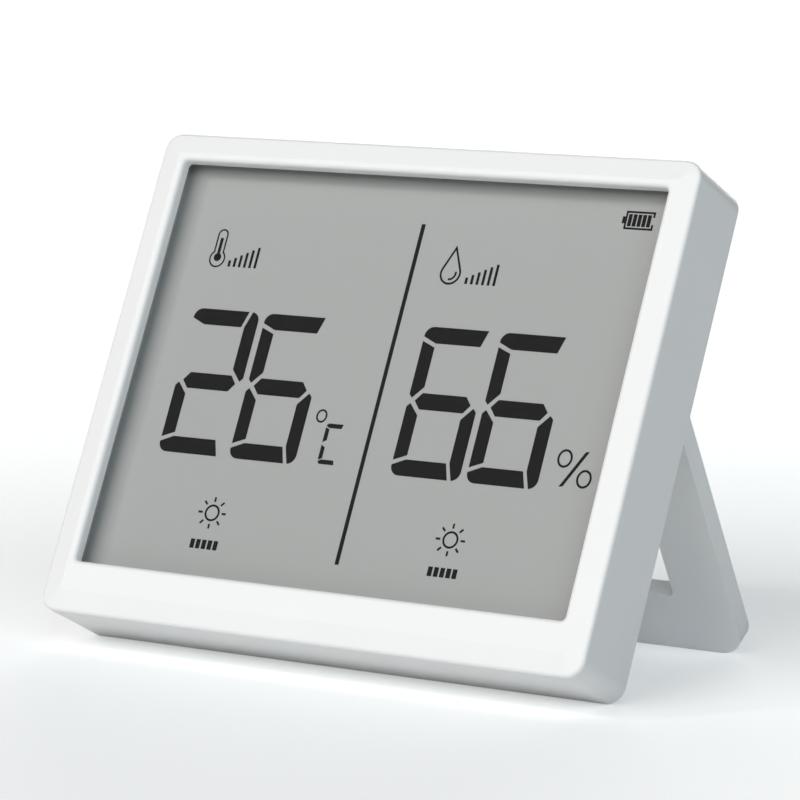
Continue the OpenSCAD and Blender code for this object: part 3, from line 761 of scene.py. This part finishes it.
@dataclass(frozen=True)
class SevenSegments:
    """Shape of one seven-segment figure, in millimetres from its top left corner, y downwards.

    The lower half mirrors the upper one, so only the upper half has sizes.
    """

    width: float = 14.9
    height: float = 29.04
    upright_w: float = 2.79
    bar_h: float = 3.2
    corner_r: float = 1.9
    # Where an end bar stops beside a right upright that is on, and beside one that is off
    bar_end: float = 12.4
    free_bar_end: float = 13.45
    bar_slant: float = 1.05
    bar_start_y: float = 2.0
    # Left upright: outer and inner corner of its upper end, then of its lower end, then its tip
    left_top_y: Span = (2.9, 4.0)
    left_inner_y: float = 11.75
    left_tip_x: float = 0.67
    # Right upright: start on the upper edge, corners on its inner side, and its tip
    right_start_x: float = 13.2
    right_widening: float = 0.04
    right_inner_y: Span = (3.27, 11.67)
    right_tip_x: float = 14.2
    # First steps of the right upright's round corner that its slanted end takes up
    corner_skip: int = 4
    # Lower ends of both uprights: outer corner and tip
    outer_y: float = 13.3
    tip_y: float = 14.0
    # Middle bar: tips at its ends, and the corners before its right tip
    middle_tips_x: Span = (1.45, 13.45)
    middle_shoulder_x: float = 12.16

    def _mirrored(self, loop: Sequence[Point]) -> list[Point]:
        """Turns an outline upside down within the figure."""
        return [(x, self.height - y) for x, y in loop]

    def _end_bar(self, end: float) -> list[Point]:
        """Draws the upper bar up to its right end."""
        r, thick = self.corner_r, self.bar_h
        return [*arc((r, r), r, 180, 270), (end, 0), (end - self.bar_slant, thick),
                (self.upright_w, thick), (0, self.bar_start_y)]

    def outlines(self, numeral: Numeral) -> list[list[Point]]:
        """Draws a numeral.

        Args:
            numeral: Numeral to draw.

        Returns:
            One outline per segment that is on.
        """
        width, upright, r = self.width, self.upright_w, self.corner_r
        inner = width - upright - self.right_widening
        corner = arc((width - r, r), r, 270, 360)[self.corner_skip:]
        left = [(0, self.left_top_y[0]), (upright, self.left_top_y[1]),
                (upright, self.left_inner_y), (self.left_tip_x, self.tip_y), (0, self.outer_y)]
        right = [(self.right_start_x, 0), *corner, (width, self.outer_y),
                 (self.right_tip_x, self.tip_y), (inner, self.right_inner_y[1]),
                 (inner, self.right_inner_y[0])]
        top_end = self.bar_end if "b" in numeral.value else self.free_bar_end
        low_end = self.bar_end if "c" in numeral.value else self.free_bar_end
        middle, half = self.height / 2, self.bar_h / 2
        start, stop = self.middle_tips_x
        shapes = {
            "a": self._end_bar(top_end), "d": self._mirrored(self._end_bar(low_end)),
            "b": right, "c": self._mirrored(right), "f": left, "e": self._mirrored(left),
            "g": [(start, middle), (upright, middle - half),
                  (self.middle_shoulder_x, middle - half), (stop, middle),
                  (self.middle_shoulder_x, middle + half), (upright, middle + half)],
        }
        return [shapes[letter] for letter in numeral.value]


@dataclass
class SegmentDisplay:
    """Everything that the display shows: figures, units, divider and small pictograms.

    Places on it are in millimetres from the layout's middle, x to the right and y up.
    """

    face: LeaningFace
    shelf: FinishShelf
    figure: SevenSegments = SevenSegments()
    # Place of the layout's middle, sideways and above the glass's lower edge
    middle: Point = (-1.52, 42.97)
    # The layout is this much larger than it looks at the glass's front, as it lies deeper
    scale: float = 1.003
    # Depth of the reflector's face below the front of the glass, which is two plates thick
    foil_depth: float = 2.15
    foil_t: float = 0.04
    foil_w: float = 109.2
    foil_y: Span = (2.9, 86.5)
    # Grey seal round the rear plate, and black print on the contact ledge below it
    seal_w: float = 0.06
    seal_depth: float = 1.12
    seal_lift: float = 0.01
    ledge_y: Span = (0.15, 2.78)
    ledge_depth: float = 1.06
    # Underside and top of the switched segments, from the reflector's face
    ink_z: Span = (-0.01, 0.03)
    hairline: float = 0.4
    # Figures and the divider between them
    figure_top: float = 13.92
    temperature_xs: Span = (-42.92, -26.69)
    humidity_xs: Span = (9.08, 25.31)
    divider_x: Span = (2.43, 3.27)
    divider_y: Span = (-33.15, 33.85)
    # Degree ring, and the segmented C: its left edge, upper and lower edge, and the outlines of
    # a bar and an upright from an outer left corner, with y towards the middle
    degree_at: Point = (-8.52, -5.22)
    degree_r: float = 1.02
    degree_tall: float = 1.13
    degree_line: float = 0.36
    letter_x: float = -6.95
    letter_y: Span = (-6.52, -14.46)
    letter_bar: Outline = ((0, 0.5), (0.4, 0), (3.68, 0), (3.4, 0.88), (0.75, 0.88))
    letter_upright: Outline = ((0, 0.8), (0.84, 1.1), (0.84, 3.25), (0, 3.75))
    # Percent sign
    percent_at: Outline = ((44.5, -8.76), (49.29, -12.26))
    percent_r: float = 1.33
    percent_tall: float = 1.16
    percent_line: float = 0.42
    slash: Outline = ((44.55, -14.08), (45.33, -13.98), (49.18, -7.13), (48.4, -7.23))
    # Thermometer: outline of bulb and tube, then the filling
    thermometer_x: float = -41.2
    bulb_y: float = 24.17
    bulb_r: float = 1.66
    tube_r: float = 1.02
    tube_top: float = 29.05
    thermometer_line: float = 0.32
    filling_y: Span = (24.45, 28.4)
    filling_bulb_r: float = 0.84
    filling_half_w: float = 0.33
    # Drop, and the curved gleam inside it
    drop_at: Point = (11.22, 24.55)
    drop_r: float = 2.05
    drop_tip: float = 29.62
    gleam_at: Point = (11.12, 24.6)
    gleam_r: float = 1.24
    gleam_turn: Span = (15, -95)
    # Suns: disc, and the reach and step of the rays
    sun_xs: Span = (-26.95, 25.3)
    sun_y: float = -26.08
    sun_r: float = 1.45
    ray_reach: Span = (2.15, 3.1)
    ray_step: int = 45
    # Level marks below each sun
    level_count: int = 5
    level_left: float = -3.1
    level_pitch: float = 1.3
    level_w: float = 0.95
    level_y: Span = (-33.2, -31.4)
    # Rising marks beside the thermometer and the drop: heights are shares of the tallest span
    rising_xs: Span = (-38.4, 14.7)
    rising_count: int = 6
    rising_pitch: float = 1.2
    rising_w: float = 0.55
    rising_y: Span = (22.7, 26.9)
    rising_first: float = 0.3
    rising_gain: float = 0.14
    # Charge pictogram: a case with an open right end, its cap and its bars
    battery_x: Span = (44.87, 50.85)
    battery_y: Span = (35.4, 38.98)
    battery_line: float = 0.38
    battery_stub: float = 1.1
    cap_w: float = 0.56
    cap_y: Span = (36.51, 37.86)
    charge_count: int = 5
    charge_inset: float = 0.61
    charge_pitch: float = 0.98
    charge_w: float = 0.76

    def _piece(self, name: str, plates: ThinPlates, finish: PolariserFilm = DISPLAY_INK) -> None:
        """Finishes one group of plates as a piece of the display."""
        plates.finish(name, self.face.sunk(self.foil_depth), self.shelf.get(finish),
                      "display_glass", "case")

    def _plates(self) -> ThinPlates:
        """Starts a group of plates on the display."""
        return ThinPlates(*self.ink_z)

    def _up(self, points: Sequence[Point]) -> list[Point]:
        """Moves points from the layout's middle to the middle of the glass's lower edge."""
        right, up = self.middle
        return [(x * self.scale + right, y * self.scale + up) for x, y in points]

    def _bar(self, plates: ThinPlates, x: Span, y: Span) -> None:
        """Adds an upright bar of the layout to a group of plates."""
        plates.plate(self._up(rectangle(x, y)))

    def _foil(self) -> None:
        """Builds the reflecting sheet, and the seal and print that hide what lies beside it."""
        half, edge = self.foil_w / 2, self.seal_w / 2
        low, high = self.foil_y
        sheet = ThinPlates(-self.foil_t, 0)
        sheet.plate(rectangle((-half, half), self.foil_y))
        self._piece("rear_polariser", sheet, DISPLAY_FILM)
        seal = ThinPlates(self.seal_lift, self.foil_depth - self.seal_depth)
        seal.line(rectangle((edge - half, half - edge), (low + edge, high - edge)), self.seal_w)
        self._piece("edge_seal", seal, DISPLAY_FILM)
        top = self.foil_depth - self.ledge_depth
        ledge = ThinPlates(top - self.foil_t, top)
        ledge.plate(rectangle((-half, half), self.ledge_y))
        self._piece("ledge_print", ledge)

    def _figures(self, name: str, lefts: Span, numerals: tuple[Numeral, Numeral]) -> None:
        """Builds a number of two figures.

        Args:
            name: Name of the piece.
            lefts: Left edge of each figure.
            numerals: Numeral of each figure.
        """
        plates = self._plates()
        for left, numeral in zip(lefts, numerals):
            for outline in self.figure.outlines(numeral):
                plates.plate(self._up([(left + x, self.figure_top - y) for x, y in outline]))
        self._piece(name, plates)

    def _divider(self) -> None:
        """Builds the line between the two numbers."""
        plates = self._plates()
        self._bar(plates, self.divider_x, self.divider_y)
        self._piece("divider", plates)

    def _degree_sign(self) -> None:
        """Builds the degree ring and the segmented C beside it."""
        plates = self._plates()
        plates.line(self._up(ring(self.degree_at, self.degree_r, tall=self.degree_tall)),
                    self.degree_line)
        for edge, inwards in zip(self.letter_y, (-1, 1)):
            for outline in (self.letter_bar, self.letter_upright):
                plates.plate(self._up([(self.letter_x + x, edge + inwards * y)
                                       for x, y in outline]))
        self._piece("unit_degree", plates)

    def _percent_sign(self) -> None:
        """Builds the two rings and the slash."""
        plates = self._plates()
        for centre in self.percent_at:
            plates.line(self._up(ring(centre, self.percent_r, tall=self.percent_tall)),
                        self.percent_line)
        plates.plate(self._up(self.slash))
        self._piece("unit_percent", plates)

    def _thermometer(self) -> None:
        """Builds the thermometer: an outline with a bulb, and the column inside it."""
        plates = self._plates()
        x, half = self.thermometer_x, self.filling_half_w
        meet = math.degrees(math.asin(self.tube_r / self.bulb_r))
        tube = arc((x, self.tube_top), self.tube_r, 0, 180)
        bulb = arc((x, self.bulb_y), self.bulb_r, 90 + meet, 450 - meet, 36)
        plates.line(self._up([*tube, *bulb]), self.thermometer_line)
        plates.plate(self._up(ring((x, self.filling_y[0]), self.filling_bulb_r, 32)))
        self._bar(plates, (x - half, x + half), self.filling_y)
        self._piece("pictogram_thermometer", plates)

    def _drop(self) -> None:
        """Builds the water drop and the gleam inside it."""
        plates = self._plates()
        x, y = self.drop_at
        lean = math.degrees(math.acos(self.drop_r / (self.drop_tip - y)))
        belly = arc(self.drop_at, self.drop_r, 90 + lean, 450 - lean, 40)
        plates.line(self._up([(x, self.drop_tip), *belly]), self.hairline)
        plates.stroke(self._up(arc(self.gleam_at, self.gleam_r, *self.gleam_turn, 16)),
                      self.hairline)
        self._piece("pictogram_drop", plates)

    def _suns(self) -> None:
        """Builds the two suns and the row of level marks below each."""
        for name, x in zip(("left", "right"), self.sun_xs):
            plates = self._plates()
            plates.line(self._up(ring((x, self.sun_y), self.sun_r)), self.hairline)
            for turn in range(0, 360, self.ray_step):
                across, up = math.cos(math.radians(turn)), math.sin(math.radians(turn))
                plates.stroke(self._up([(x + reach * across, self.sun_y + reach * up)
                                        for reach in self.ray_reach]), self.hairline)
            self._piece(f"pictogram_sun_{name}", plates)
            marks = self._plates()
            for step in range(self.level_count):
                left = x + self.level_left + self.level_pitch * step
                self._bar(marks, (left, left + self.level_w), self.level_y)
            self._piece(f"comfort_marks_{name}", marks)

    def _rising_marks(self) -> None:
        """Builds a rising row of marks beside the thermometer and beside the drop."""
        low, high = self.rising_y
        for name, x in zip(("temperature", "humidity"), self.rising_xs):
            plates = self._plates()
            for step in range(self.rising_count):
                left = x + self.rising_pitch * step
                top = low + (high - low) * (self.rising_first + self.rising_gain * step)
                self._bar(plates, (left, left + self.rising_w), (low, top))
            self._piece(f"trend_marks_{name}", plates)

    def _battery(self) -> None:
        """Builds the charge pictogram: a case with its cap on the left and its bars."""
        plates = self._plates()
        (x0, x1), (y0, y1) = self.battery_x, self.battery_y
        line, stub, inset = self.battery_line, self.battery_stub, self.charge_inset
        inner_x0, inner_x1 = x0 + line, x1 - line
        plates.plate(self._up([
            (x1, y0 + stub), (inner_x1, y0 + stub), (inner_x1, y0 + line), (inner_x0, y0 + line),
            (inner_x0, y1 - line), (inner_x1, y1 - line), (inner_x1, y1 - stub), (x1, y1 - stub),
            (x1, y1), (x0, y1), (x0, y0), (x1, y0)]))
        self._bar(plates, (x0 - self.cap_w, x0), self.cap_y)
        for step in range(self.charge_count):
            left = x0 + inset + self.charge_pitch * step
            self._bar(plates, (left, left + self.charge_w), (y0 + inset, y1 - inset))
        self._piece("pictogram_battery", plates)

    def build(self) -> None:
        """Builds the reflecting sheet and all that the display shows."""
        self._foil()
        self._figures("numerals_temperature", self.temperature_xs, (Numeral.TWO, Numeral.SIX))
        self._figures("numerals_humidity", self.humidity_xs, (Numeral.SIX, Numeral.SIX))
        self._degree_sign()
        self._percent_sign()
        self._divider()
        self._thermometer()
        self._drop()
        self._suns()
        self._rising_marks()
        self._battery()


@dataclass
class BackMarks:
    """Moulded mark on the battery door that shows which edge to lift."""

    face: LeaningFace
    shelf: FinishShelf
    arrow_w: float = 7.0
    arrow_h: float = 4.2
    arrow_drop: float = 1.0
    sunk: float = 0.05
    rise: float = 0.25

    def build(self) -> None:
        """Builds the arrow on the door."""
        plates = ThinPlates(-self.sunk, self.rise)
        top = self.arrow_drop + self.arrow_h
        plates.plate([(-self.arrow_w / 2, top), (0, self.arrow_drop), (self.arrow_w / 2, top)])
        plates.finish("door_arrow", self.face, self.shelf.get(WHITE_ABS), "white_abs",
                      "battery_door")


@dataclass(frozen=True)
class Lamp:
    """One soft light of the studio: where it hangs and how wide it looks, in degrees."""

    name: str
    azimuth: float
    elevation: float
    strength: float
    colour: str
    spread: float


@dataclass
class Studio:
    """Pale floor, soft light and the camera."""

    floor_size: float = 40.0
    floor_colour: str = "#f5f7f7"
    fibre_colour: str = "#f6f7f8"
    fibre_mm: float = 400.0
    fibre_detail: float = 2.0
    floor_roughness: float = 0.9
    floor_gleam: float = 0.2
    # The floor looks this much lighter than it is lit, near the part and away from it, and
    # passes from one to the other between these distances
    floor_glow: Span = (0.32, 0.5)
    backdrop_mm: Span = (80.0, 360.0)
    sky_colour: str = "#fcfdfd"
    lamps: tuple[Lamp, ...] = (
        Lamp("key_lamp", -50.6, 37.6, 0.35, "#fffcf9", 6.0),
        Lamp("front_softbox", -12.0, 35.0, 1.69, "#fffbf7", 50.0),
        Lamp("side_softbox", 52.0, 35.0, 1.07, "#ecf8ff", 50.0),
        Lamp("rear_softbox", -160.0, 11.0, 1.3, "#ffffff", 36.0),
    )
    azimuth: float = 32.221
    elevation: float = 8.447
    distance_mm: float = 731.87
    aim_right_mm: float = 7.238
    aim_up_mm: float = -2.017
    # Focal length as a share of the picture's width
    focal_share: float = 3969.4 / 800
    sensor_mm: float = 36.0
    view_m: float = 100.0

    def _floor(self) -> None:
        """Lays a plain pale floor with a faint unevenness, whose glow only the camera sees."""
        bpy.ops.mesh.primitive_plane_add(size=self.floor_size)
        floor = bpy.context.object
        floor.name = "floor"
        paper = Surface("paper backdrop, matt", Roughness=self.floor_roughness,
                        Specular_IOR_Level=self.floor_gleam,
                        Emission_Color=linear(self.floor_colour))
        tree = paper.tree
        fibres = add_node(tree, "ShaderNodeTexNoise", {
            "Vector": paper.mm, "Scale": 1 / self.fibre_mm, "Detail": self.fibre_detail})
        tint = add_node(tree, "ShaderNodeMix", {
            MIX_SHARE: fibres.outputs[0], MIX_FIRST: linear(self.floor_colour),
            MIX_SECOND: linear(self.fibre_colour)}, data_type="RGBA")
        reach = add_node(tree, "ShaderNodeVectorMath", {0: paper.mm}, operation="LENGTH")
        glow = add_node(tree, "ShaderNodeMapRange", {
            "Value": reach.outputs["Value"], "From Min": self.backdrop_mm[0],
            "From Max": self.backdrop_mm[1], "To Min": self.floor_glow[0],
            "To Max": self.floor_glow[1]}, interpolation_type="SMOOTHSTEP")
        seen = add_node(tree, "ShaderNodeLightPath")
        shown = add_node(tree, "ShaderNodeMath", {
            0: glow.outputs[0], 1: seen.outputs["Is Camera Ray"]}, operation="MULTIPLY")
        paper.feed(Base_Color=tint.outputs[MIX_COLOUR], Emission_Strength=shown.outputs[0])
        floor.data.materials.append(paper.material)

    def _sky(self) -> None:
        """Sets an even pale sky above the floor's far edge, which gives no light of its own."""
        world = bpy.data.worlds.new("studio")
        world.use_nodes = True
        background = world.node_tree.nodes["Background"]
        background.inputs["Color"].default_value = linear(self.sky_colour)
        seen = add_node(world.node_tree, "ShaderNodeLightPath")
        world.node_tree.links.new(seen.outputs["Is Camera Ray"], background.inputs["Strength"])
        bpy.context.scene.world = world

    @staticmethod
    def _looking(azimuth: float, elevation: float) -> Matrix:
        """Turns something to look at the part.

        Args:
            azimuth: Angle in degrees from the front towards the part's right, seen from above.
            elevation: Angle in degrees above the floor.

        Returns:
            The turn, for something that looks along its own -Z.
        """
        az, el = math.radians(azimuth), math.radians(elevation)
        back = Vector((math.sin(az) * math.cos(el), -math.cos(az) * math.cos(el), math.sin(el)))
        right = Vector((math.cos(az), math.sin(az), 0))
        return Matrix((right, back.cross(right), back)).transposed().to_4x4()

    def _lamp(self, lamp: Lamp) -> None:
        """Hangs one lamp that shines on the part.

        Args:
            lamp: Lamp to hang.
        """
        data = bpy.data.lights.new(lamp.name, "SUN")
        data.energy = lamp.strength
        data.color = linear(lamp.colour)[:3]
        data.angle = math.radians(lamp.spread)
        light = bpy.data.objects.new(lamp.name, data)
        bpy.context.scene.collection.objects.link(light)
        light.matrix_world = self._looking(lamp.azimuth, lamp.elevation)

    def _camera(self, target: Vector) -> None:
        """Sets the camera at the photograph's angle.

        Args:
            target: Middle of the front face, in metres.
        """
        data = bpy.data.cameras.new("camera")
        data.sensor_width = self.sensor_mm
        data.lens = self.focal_share * self.sensor_mm
        data.clip_end = self.view_m
        camera = bpy.data.objects.new("camera", data)
        bpy.context.scene.collection.objects.link(camera)
        turn = self._looking(self.azimuth, self.elevation)
        right, up, back = (turn.col[i].to_3d() for i in range(3))
        away = back * self.distance_mm + right * self.aim_right_mm + up * self.aim_up_mm
        camera.matrix_world = Matrix.Translation(target + away * MM) @ turn
        bpy.context.scene.camera = camera

    def build(self, target: Vector) -> None:
        """Builds the studio round the part.

        Args:
            target: Middle of the front face, in metres.
        """
        self._floor()
        self._sky()
        for lamp in self.lamps:
            self._lamp(lamp)
        self._camera(target)
        bpy.context.scene.view_settings.view_transform = "Standard"


# Middle of the case's front face above and in front of the glass's lower edge, in millimetres
FACE_MIDDLE_MM = (42.2, 2.6)


def main() -> None:
    """Dresses the CAD nodes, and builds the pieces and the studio."""
    logging.basicConfig(level=logging.INFO)
    shelf = FinishShelf()
    shelf.dress_nodes()
    display = LeaningFace.of_display("lcd_panel")
    SegmentDisplay(display, shelf).build()
    BackMarks(LeaningFace.of_back("battery_door", display.up), shelf).build()
    Studio().build(display.matrix() @ Vector((0, *FACE_MIDDLE_MM)))


if __name__ == "__main__":
    main()
